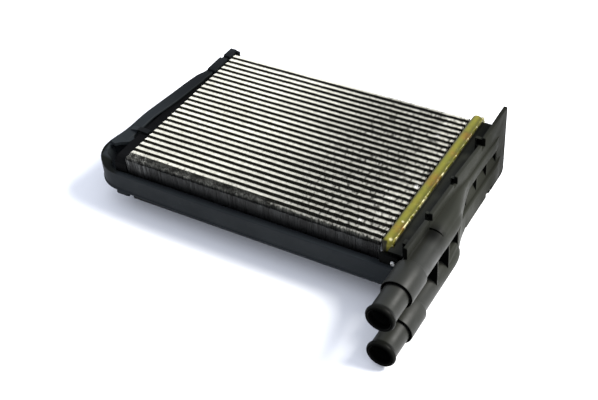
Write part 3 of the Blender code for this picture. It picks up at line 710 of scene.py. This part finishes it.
# ------------------------------------------------------------- supply tank
BODY = (-78.2, 80.2, -42.4, 0.2)
PLATE_X0, PLATE_X1 = 239.9, 242.7
PLATE_TOP = ((-91.7, -58.4, 16.3, 14.3), (-52.4, -16.8, 15.0, 13.7),
             (-11.0, 32.6, 16.3, 13.3), (39.0, 81.5, 15.3, 16.8))
NOTCH_DEPTH = (6.0, 6.0, 7.0)
LOWER_CUTS = ((40.0, 52.0, -42.8, -37.5, 243.1), (-1.0, 4.0, -44.9, -39.6, 244.1))
BOSSES = ((234.4, 39.0, 41.8, 13.6, 234.9, 239.6, 6.7, 13.1), (237.2, -11.0, -8.4, 13.9, 237.7, 239.6, 8.5, 13.4),
          (237.0, -52.4, -49.8, 13.9, 237.5, 239.6, 9.0, 13.4), (235.4, -83.8, -79.2, 11.9, 235.9, 239.2, 0.7, 11.4))
RIB_Y = tuple(63.6 - 18.7 * i for i in range(8))
RIB_X = (242.6, 242.6, 242.6, 242.75, 247.2, 252.7, 254.05, 254.05)
UPPER = ((66.0, -1.3, 242.95, -11.3, 0.25), (57.0, -0.8, 243.9, -10.6, 0.9),
         (40.0, 0.6, 244.1, -8.6, 1.1), (13.0, 0.9, 244.3, -8.0, 1.3),
         (3.0, 2.2, 245.0, -9.6, 2.0), (-11.2, 5.0, 248.1, -12.2, 4.2),
         (-30.0, 7.0, 253.4, -10.8, 7.0), (-48.6, 7.2, 254.2, -11.0, 8.0),
         (-57.0, 6.9, 254.0, -11.0, 8.0))
LOWER = ((72.0, -24.2, 242.95, -41.4, 0.25), (60.0, -24.2, 244.9, -41.8, 1.1), (40.0, -24.2, 245.1, -41.9, 1.2),
         (5.0, -24.2, 245.3, -42.0, 1.2), (-8.0, -24.3, 246.5, -41.9, 1.4),
         (-20.0, -24.5, 249.6, -41.6, 1.8), (-29.9, -24.8, 252.5, -41.2, 2.2),
         (-48.6, -27.6, 253.3, -41.6, 5.0))


def plate_outline():
    y0, y1, z0 = -91.7, 81.5, -46.6
    pts = [(y0, z0 + 4.0), (y0 + 1.2, z0 + 1.2), (y0 + 4.0, z0)]
    for a, c, up, _z, _x in sorted(LOWER_CUTS):
        pts += [(a, z0), (a, up), (c, up), (c, z0)]
    pts += [(y1 - 5.0, z0), (y1 - 2.9, z0 + 0.5), (y1 - 1.2, z0 + 1.6), (y1 - 0.3, z0 + 3.2), (y1, z0 + 5.0)]
    for k in range(len(PLATE_TOP) - 1, -1, -1):
        a0, a1, b0, b1 = PLATE_TOP[k]
        if k == len(PLATE_TOP) - 1:
            pts += [(a1, b1 - 2.0), (a1 - 0.6, b1 - 0.6), (a1 - 2.0, b1 - 0.05)]
        else:
            pts += [(a1, b1 - 0.4), (a1 - 0.4, b1)]
        pts += [(a0 + 0.4, b0), (a0, b0 - 0.4)]
        if k:
            floor = b0 - NOTCH_DEPTH[k - 1]
            pts += [(a0, floor), (PLATE_TOP[k - 1][1], floor)]
    return pts


def duct(b, rows, steps, drop=0.5, shoulder=8):
    rings = []
    for y, top, outer, low, r in smooth_rows(rows, steps):
        ring = [(240.6, y, low - drop), (240.6, y, top)]
        for k in range(shoulder + 1):
            a = math.radians(90 - 90 * k / shoulder)
            ring.append((outer - r + r * math.cos(a), y, top - r + r * math.sin(a)))
        ring += [(outer, y, low + 0.5), (outer - 0.25, y, low), (outer - 0.9, y, low - drop)]
        rings.append(ring)
    b.loft(rings)


def lower_duct(b):
    rings = []
    for y, top, outer, low, r in smooth_rows(LOWER, 8):
        ring = [(240.6, y, low), (240.6, y, top)]
        for k in range(7):
            a = math.radians(90 - 90 * k / 6)
            ring.append((outer - r + r * math.cos(a), y, top - r + r * math.sin(a)))
        ring += [(outer, y, low + 1.4), (outer - 0.15, y, low + 0.9), (outer - 0.6, y, low + 0.25),
                 (outer - 1.3, y, low)]
        rings.append(ring)
    b.loft(rings)


def pipe(b, z, rr):
    turned(b, PIPE_X, z, (
        (-23.0, rr - 4.4), (-25.2, rr - 2.6), (-28.2, rr - 1.3), (-32.0, rr - 0.45), (-37.0, rr), (-60.0, rr), (-90.4, rr),
        (-91.0, rr + 0.2), (-91.25, 11.0), (-91.5, 11.42), (-92.2, 11.58), (-100.0, 11.56), (-113.2, 11.56),
        (-113.8, 11.50), (-114.0, 11.40), (-114.0, 11.3), (-113.75, 11.17), (-110.0, 11.1), (-109.9, 9.5),
        (-128.0, 9.45), (-133.2, 9.5), (-134.4, 9.75), (-135.2, 10.25), (-136.0, 10.6), (-136.6, 10.7),
        (-137.5, 10.55), (-138.3, 10.1), (-138.8, 9.4), (-139.0, 8.9), (-138.9, 8.45), (-138.2, 7.95),
        (-136.5, 7.7), (-100.0, 7.6), (-62.0, 7.5)))


def tank_box(b):
    """Box of the tank, rounded at its rear edge and drawn in a little towards the plate."""
    rings = []
    for x, d in ((226.1, 1.4), (226.4, 0.5), (227.1, 0.0), (233.0, 0.1), (240.4, 0.3)):
        rings.append([(x, y, z) for y, z in rounded_rect(BODY[0] + d, BODY[1] - d, BODY[2] + d, BODY[3] - d, 6.0)])
    b.loft(rings)


def build_tank():
    def rim_at(g):
        return rounded_rect(RIM[0] + g, RIM[1] - g, RIM[2] + g, RIM[3] - g, RIM_R - g)

    def piece(fill, *args):
        return one("part", MAT_TANK, fill, *args)
    ob = one("tank_moulding", MAT_TANK, slab, 219.9, 223.9, rim_at(1.75), 0.3)
    cut_with(ob, piece(slab, 223.3, 226.7, rim_at(4.2)), piece(tank_box),
             piece(slab, PLATE_X0, PLATE_X1, plate_outline(), 0.35), operation="UNION")
    # recess between the ducts: deep under the upper one, sloping out to the lower one
    w = Builder()
    w.loft([[(238.5, y, -9.0), (243.7, y, -9.0), (243.7, y, -24.0), (242.9, y, -24.0), (238.5, y, -15.5)]
            for y in (-29.0, 64.3)])
    cut_with(ob, w.done("recess", MAT_TANK))
    adds = [piece(duct, UPPER, 8), piece(lower_duct)]
    adds += [piece(pipe, z, rr) for z, rr in zip(PIPE_Z, PIPE_R)]
    for i, (y, x) in enumerate(zip(RIB_Y, RIB_X)):
        if i <= 4:
            adds.append(piece(block, 238.0, x, y - 0.9, y + 0.9, -24.7, -11.7, 0.2))
        elif i == 5:
            adds.append(piece(block, 238.0, x, y - 0.9, y + 0.9, -41.05, -10.7, 0.25))
        else:
            adds.append(piece(block, 242.2, x, y - 0.9, y + 0.9, -36.5, -10.6, 0.25))
    adds.append(piece(block, 226.5, 240.2, -79.4, -71.0, -1.5, 0.1, 0.15))
    adds.append(piece(block, 224.4, 240.2, -83.8, -78.85, -1.5, 0.15, 0.25))
    adds += [piece(block, c[0], 240.2, c[1], c[2], -0.3, c[3], 0.2) for c in BOSSES]
    cut_with(ob, *adds, operation="UNION")
    cuts = [piece(block, c[4], c[5], c[1] - 1.0, c[2] - 0.5, c[6], c[7], 0.1) for c in BOSSES]
    for y0, y1, plate_z, duct_z, duct_x in LOWER_CUTS:
        cuts.append(piece(block, duct_x, 247.7, y0 + 0.05, y1 - 0.05, -48.1, duct_z, 0.1))
    cut_with(ob, *cuts)
    return dress(ob, MAT_TANK, 38.0)


def build_frame():
    rows = ((231.0, -85.0, -14.5, 5.7), (180.0, -85.1, -14.5, 5.8), (120.0, -85.2, -14.5, 5.9),
            (60.0, -85.0, -14.5, 5.7), (20.0, -84.2, -14.5, 4.8), (-2.0, -83.7, -14.5, 4.2),
            (-10.5, -83.2, -14.4, 3.7), (-18.0, -81.8, -14.1, 5.0), (-25.2, -78.0, -13.2, 8.0),
            (-30.9, -72.0, -11.6, 5.6), (-32.5, -66.0, -9.6, 4.6), (-31.8, -60.0, -8.0, 4.6),
            (-28.8, -52.0, -6.4, 10.8), (-25.6, -40.0, -4.8, 10.6), (-22.4, -22.0, -2.0, 9.8),
            (-18.8, 4.0, -1.5, 10.8), (-15.9, 24.0, -0.9, 10.5), (-13.2, 38.0, -0.4, 9.7),
            (-9.7, 46.5, -0.1, 7.0), (-8.4, 60.0, 0.0, 5.4), (-7.6, 74.0, 0.0, 5.2), (-7.2, 82.0, 0.0, 4.8))
    steps = 6
    edge = smooth_rows(rows, steps)
    last = len(edge) - 1
    skirt_last = 16 * steps
    flat = lambda pts, zs: [[(x, y, z) for x, y in pts] for z in zs]
    b = Builder()
    bm = b.bm
    made = []
    low = -31.5
    for i, (x, y, z, w) in enumerate(edge):
        p, q = edge[max(i - 1, 0)], edge[min(i + 1, last)]
        d = Vector((q[0] - p[0], q[1] - p[1])).normalized()
        nx, ny = d.y, -d.x
        t = 1.6
        rim = ((1.0, z + 0.0), (0.45, z - 0.12), (0.12, z - 0.45), (0.0, z - 1.0), (0.0, z - t), (2.2, z - t),
               (w, z - t), (w, z - 0.55), (w - 0.2, z - 0.2), (w - 0.6, z))
        skirt = ((0.0, low + 1.9), (-0.3, low + 1.6), (-0.65, low + 1.45), (-0.7, low + 1.0), (-0.7, low + 0.2),
                 (-0.5, low), (2.2, low))

        def vs(points):
            return [bm.verts.new(G(x + nx * o, y + ny * o, v)) for o, v in points]
        made.append((vs(rim), vs(skirt) if i <= skirt_last else None))

    def section(rim, skirt):
        return rim if skirt is None else rim[:5] + skirt + rim[5:]
    for i in range(last):
        (ra, sa), (rb, sb) = made[i], made[i + 1]
        if i == skirt_last:
            bm.faces.new([ra[4]] + sa + [ra[5]])
        on = i < skirt_last
        pa, pb = section(ra, sa if on else None), section(rb, sb if on else None)
        for k in range(len(pa)):
            j = (k + 1) % len(pa)
            bm.faces.new((pa[k], pa[j], pb[j], pb[k]))
    bm.faces.new(section(*made[0])[::-1])
    bm.faces.new(made[last][0])
    ob = b.done("frame_moulding_piece", MAT_FRAME, 40.0)

    def piece(fill, *args):
        return one("part", MAT_FRAME, fill, *args)
    foot = [(-82.3 + 2.8 * math.cos(2 * math.pi * k / 24), -32.2 + 2.8 * math.sin(2 * math.pi * k / 24))
            for k in range(24)]
    adds = [piece(slab, -9.5, 0.8, foot, 0.5),
            piece(block, -29.2, -27.8, -67.6, -57.6, -25.0, -9.9, 0.3),
            piece(block, -6.9, 2.5, 79.4, 81.8, -6.5, 0.9, 0.35),
            piece(block, -8.3, -0.7, 47.2, 66.6, -1.2, 1.7, 0.6),
            piece(block, -7.0, -0.7, 70.0, 81.9, -3.2, 1.9, 0.6)]
    for pts, zs in ((((-30.4, -67.2), (-29.0, -71.2), (-24.2, -76.9), (-17.5, -80.4), (-11.9, -81.6),
                      (-11.9, -73.0), (-17.0, -67.2)), (-21.5, -19.5)),
                    (((-29.6, -60.0), (-24.0, -61.5), (-20.5, -58.2), (-14.8, -55.0), (-13.2, -50.5),
                      (-19.8, -42.0), (-25.0, -42.0), (-28.2, -51.0)), (-9.0, -6.3))):
        adds.append(piece(Builder.loft, flat(pts, zs)))
    adds.append(piece(Builder.loft, [
        [(x, y0, z0), (x, y1, z0), (x, y1, z1), (x, y0, z1)] for x, y0, y1, z0, z1 in
        ((-21.5, -43.0, -38.6, -6.2, -4.2), (-12.6, -43.6, -39.0, -3.8, -2.2), (-4.0, -44.2, -39.6, -3.8, -2.2))]))
    cut_with(ob, *adds, operation="UNION")
    return dress(ob, MAT_FRAME, 40.0)


def build_screw():
    b = Builder()
    sx, sz = 227.8, -10.9
    turned(b, sx, sz, ((-74.0, 0.45), (-75.2, 0.95), (-82.15, 0.95), (-82.2, 1.95), (-82.3, 2.05), (-82.7, 2.08),
                       (-83.3, 1.98), (-83.8, 1.65), (-84.1, 1.2), (-84.2, 0.6)), 40)
    ob = b.done("pan_head_screw", MAT_ZINC, 35.0)
    for w0, w1 in ((0.32, 1.35), (1.35, 0.32)):
        cut_with(ob, one("recess", MAT_ZINC, Builder.loft, [
            [(sx - w0 * k, y, sz - w1 * k), (sx + w0 * k, y, sz - w1 * k), (sx + w0 * k, y, sz + w1 * k),
             (sx - w0 * k, y, sz + w1 * k)] for y, k in ((-83.2, 0.55), (-84.6, 1.0))]))
    ob.data.materials.clear()
    ob.data.materials.append(MAT_ZINC)
    return ob


def out(ob, *nodes, slot=None):
    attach(ob, "root")
    if nodes:
        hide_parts(*nodes)
    return ob


out(build_fins(), "fin_pack", slot="fin_aluminium")
rim, sheet = build_header()
out(rim, "supply_header_plate", slot="passivated_header")
out(sheet, slot="passivated_header")
out(build_tank(), "supply_tank", slot="tank_plastic")
out(build_frame(), "carrier_frame", slot="frame_plastic")
out(dress(one("frame_tab", MAT_TAB_SHADE, block, 216.8, 230.8, -81.9, -79.5, -15.6, -6.2, 0.5), MAT_TAB_SHADE, 40.0),
    slot="frame_plastic")
out(build_screw(), "frame_screw", slot="screw_zinc")


# ------------------------------------------------------------ floor, light
def build_floor():
    b = bmesh.new()
    n = 40
    size = 3.0
    vs = [[b.verts.new((size * (i / n - 0.5), size * (j / n - 0.5), -0.0002)) for j in range(n + 1)] for i in range(n + 1)]
    for i in range(n):
        for j in range(n):
            b.faces.new((vs[i][j], vs[i + 1][j], vs[i + 1][j + 1], vs[i][j + 1]))
    mesh = bpy.data.meshes.new("floor")
    b.to_mesh(mesh)
    b.free()
    ob = bpy.data.objects.new("floor", mesh)
    bpy.context.scene.collection.objects.link(ob)
    m = Mat("floor_white", (0.9, 0.9, 0.9), 0.9, 0.0, 0.1)
    m.color(m.mix(m.noise(9.0, 2.0, 0.5), (0.90, 0.90, 0.905), (0.93, 0.93, 0.93)))
    mesh.materials.append(m.m)


build_floor()


def area(name, loc, target, size, power, color):
    data = bpy.data.lights.new(name, "AREA")
    data.shape = "RECTANGLE"
    data.size, data.size_y = size
    data.energy = power
    data.color = color
    ob = bpy.data.objects.new(name, data)
    bpy.context.scene.collection.objects.link(ob)
    ob.location = loc
    ob.rotation_euler = (Vector(target) - Vector(loc)).to_track_quat("-Z", "Y").to_euler()
    return ob


area("key", (1.10, 0.50, 1.15), (0.0, 0.0, 0.0), (0.65, 0.65), 55.0, (1.0, 0.985, 0.95))

world = bpy.data.worlds.new("studio")
bpy.context.scene.world = world
world.use_nodes = True
bg = world.node_tree.nodes["Background"]
bg.inputs["Color"].default_value = (0.82, 0.87, 1.0, 1.0)
bg.inputs["Strength"].default_value = 1.12

cam_data = bpy.data.cameras.new("camera")
cam = bpy.data.objects.new("camera", cam_data)
bpy.context.scene.collection.objects.link(cam)
loc = G(464.6201, -553.1973, 498.4262)
rot = ((0.8639665842, -0.2827217281, 0.4166894853), (0.4993688464, 0.5874593854, -0.6368062496),
       (-0.0647491813, 0.7582610846, 0.6487277150))
cam.matrix_world = Matrix(((*rot[0], loc.x), (*rot[1], loc.y), (*rot[2], loc.z), (0, 0, 0, 1)))
cam_data.sensor_fit = "HORIZONTAL"
cam_data.sensor_width = 36.0
cam_data.lens = 1081.3019 * 36.0 / 598.0
cam_data.clip_start = 0.05
cam_data.clip_end = 20.0
bpy.context.scene.camera = cam
bpy.context.scene.view_settings.view_transform = "Standard"
